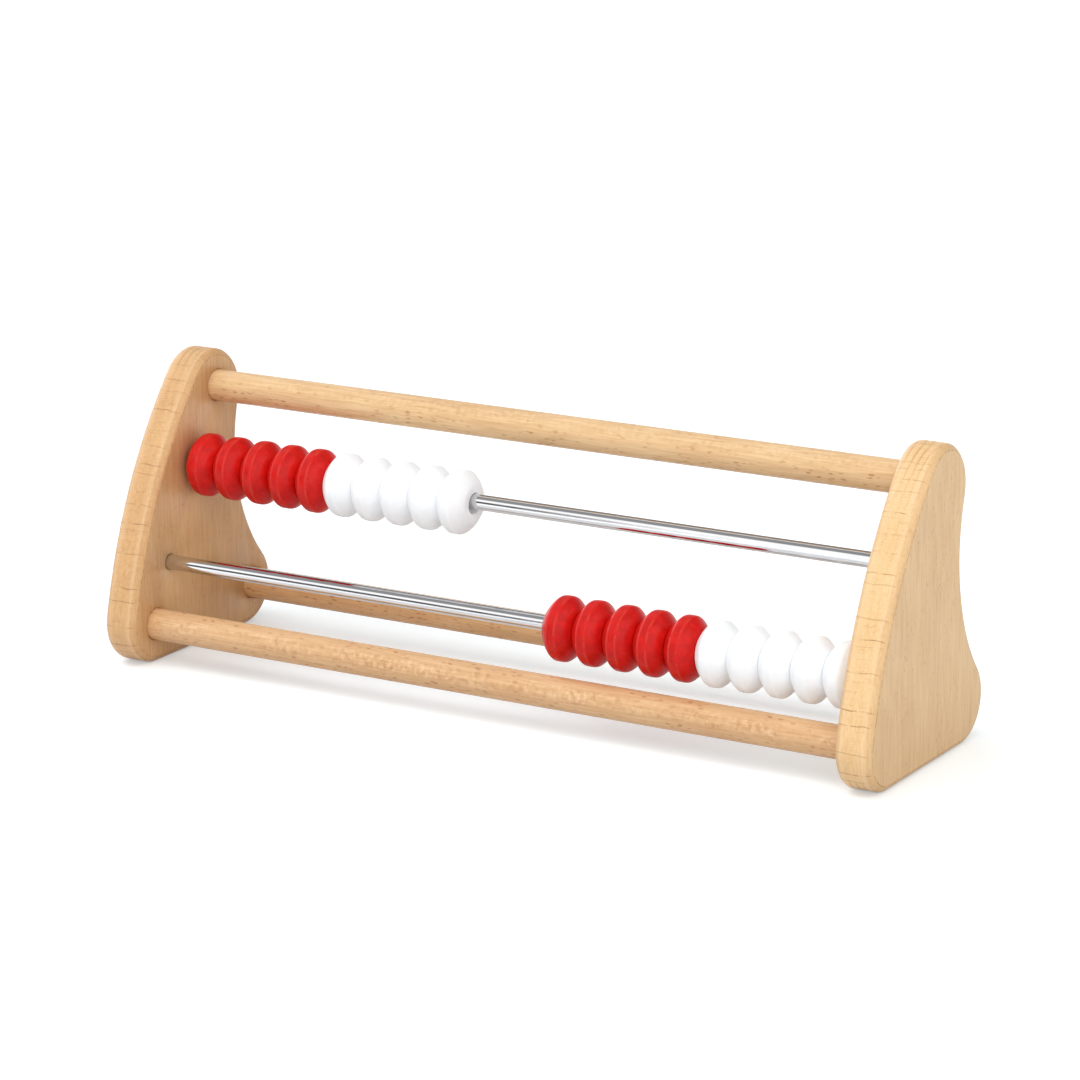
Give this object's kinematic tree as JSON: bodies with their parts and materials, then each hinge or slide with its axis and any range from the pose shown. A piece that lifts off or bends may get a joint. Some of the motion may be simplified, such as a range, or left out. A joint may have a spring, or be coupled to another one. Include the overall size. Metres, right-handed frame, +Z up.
{
  "type": "abacus",
  "caption": "Counting frame with two fin-shaped wooden side panels, wooden cross dowels, and two steel rods that carry sliding red and white wooden beads.",
  "frame": {"origin": "middle of the frame's bounding box, on the table under the panels", "axes": "+X along the rods to the right as seen from the front, +Y to the back, +Z up"},
  "size_m": [0.3212, 0.0906, 0.113],
  "materials": {
    "beech_panel": "satin",
    "beech_dowel": "satin",
    "chrome": "polished",
    "red_paint": "satin",
    "white_paint": "satin"
  },
  "bodies": {
    "frame": {"left_panel": "beech_panel", "right_panel": "beech_panel", "top_dowel": "beech_dowel", "front_dowel": "beech_dowel", "rear_dowel": "beech_dowel", "upper_rod": "chrome", "lower_rod": "chrome"},
    "upper_red_bead_1": {"upper_red_bead_1": "red_paint"},
    "upper_red_bead_2": {"upper_red_bead_2": "red_paint"},
    "upper_red_bead_3": {"upper_red_bead_3": "red_paint"},
    "upper_red_bead_4": {"upper_red_bead_4": "red_paint"},
    "upper_red_bead_5": {"upper_red_bead_5": "red_paint"},
    "upper_white_bead_1": {"upper_white_bead_1": "white_paint"},
    "upper_white_bead_2": {"upper_white_bead_2": "white_paint"},
    "upper_white_bead_3": {"upper_white_bead_3": "white_paint"},
    "upper_white_bead_4": {"upper_white_bead_4": "white_paint"},
    "upper_white_bead_5": {"upper_white_bead_5": "white_paint"},
    "lower_red_bead_1": {"lower_red_bead_1": "red_paint"},
    "lower_red_bead_2": {"lower_red_bead_2": "red_paint"},
    "lower_red_bead_3": {"lower_red_bead_3": "red_paint"},
    "lower_red_bead_4": {"lower_red_bead_4": "red_paint"},
    "lower_red_bead_5": {"lower_red_bead_5": "red_paint"},
    "lower_white_bead_1": {"lower_white_bead_1": "white_paint"},
    "lower_white_bead_2": {"lower_white_bead_2": "white_paint"},
    "lower_white_bead_3": {"lower_white_bead_3": "white_paint"},
    "lower_white_bead_4": {"lower_white_bead_4": "white_paint"},
    "lower_white_bead_5": {"lower_white_bead_5": "white_paint"}
  },
  "joints": [
    {"name": "upper_red_bead_1_slide", "type": "slide", "parent": "frame", "child": "upper_red_bead_1", "axis": [1, 0, 0], "range_m": [0, 0.1671]},
    {"name": "upper_red_bead_2_slide", "type": "slide", "parent": "upper_red_bead_1", "child": "upper_red_bead_2", "axis": [-1, 0, 0], "range_m": [-0.0185, 0]},
    {"name": "upper_red_bead_3_slide", "type": "slide", "parent": "upper_red_bead_2", "child": "upper_red_bead_3", "axis": [-1, 0, 0], "range_m": [-0.0185, 0]},
    {"name": "upper_red_bead_4_slide", "type": "slide", "parent": "upper_red_bead_3", "child": "upper_red_bead_4", "axis": [-1, 0, 0], "range_m": [-0.0185, 0]},
    {"name": "upper_red_bead_5_slide", "type": "slide", "parent": "upper_red_bead_4", "child": "upper_red_bead_5", "axis": [-1, 0, 0], "range_m": [-0.0185, 0]},
    {"name": "upper_white_bead_1_slide", "type": "slide", "parent": "upper_red_bead_5", "child": "upper_white_bead_1", "axis": [-1, 0, 0], "range_m": [-0.0185, 0]},
    {"name": "upper_white_bead_2_slide", "type": "slide", "parent": "upper_white_bead_1", "child": "upper_white_bead_2", "axis": [-1, 0, 0], "range_m": [-0.0185, 0]},
    {"name": "upper_white_bead_3_slide", "type": "slide", "parent": "upper_white_bead_2", "child": "upper_white_bead_3", "axis": [-1, 0, 0], "range_m": [-0.0185, 0]},
    {"name": "upper_white_bead_4_slide", "type": "slide", "parent": "upper_white_bead_3", "child": "upper_white_bead_4", "axis": [-1, 0, 0], "range_m": [-0.0185, 0]},
    {"name": "upper_white_bead_5_slide", "type": "slide", "parent": "upper_white_bead_4", "child": "upper_white_bead_5", "axis": [-1, 0, 0], "range_m": [-0.0185, 0]},
    {"name": "lower_white_bead_5_slide", "type": "slide", "parent": "frame", "child": "lower_white_bead_5", "axis": [1, 0, 0], "range_m": [-0.1671, 0]},
    {"name": "lower_white_bead_4_slide", "type": "slide", "parent": "lower_white_bead_5", "child": "lower_white_bead_4", "axis": [-1, 0, 0], "range_m": [0, 0.0185]},
    {"name": "lower_white_bead_3_slide", "type": "slide", "parent": "lower_white_bead_4", "child": "lower_white_bead_3", "axis": [-1, 0, 0], "range_m": [0, 0.0185]},
    {"name": "lower_white_bead_2_slide", "type": "slide", "parent": "lower_white_bead_3", "child": "lower_white_bead_2", "axis": [-1, 0, 0], "range_m": [0, 0.0185]},
    {"name": "lower_white_bead_1_slide", "type": "slide", "parent": "lower_white_bead_2", "child": "lower_white_bead_1", "axis": [-1, 0, 0], "range_m": [0, 0.0185]},
    {"name": "lower_red_bead_5_slide", "type": "slide", "parent": "lower_white_bead_1", "child": "lower_red_bead_5", "axis": [-1, 0, 0], "range_m": [0, 0.0185]},
    {"name": "lower_red_bead_4_slide", "type": "slide", "parent": "lower_red_bead_5", "child": "lower_red_bead_4", "axis": [-1, 0, 0], "range_m": [0, 0.0185]},
    {"name": "lower_red_bead_3_slide", "type": "slide", "parent": "lower_red_bead_4", "child": "lower_red_bead_3", "axis": [-1, 0, 0], "range_m": [0, 0.0185]},
    {"name": "lower_red_bead_2_slide", "type": "slide", "parent": "lower_red_bead_3", "child": "lower_red_bead_2", "axis": [-1, 0, 0], "range_m": [0, 0.0185]},
    {"name": "lower_red_bead_1_slide", "type": "slide", "parent": "lower_red_bead_2", "child": "lower_red_bead_1", "axis": [-1, 0, 0], "range_m": [0, 0.0185]}
  ]
}
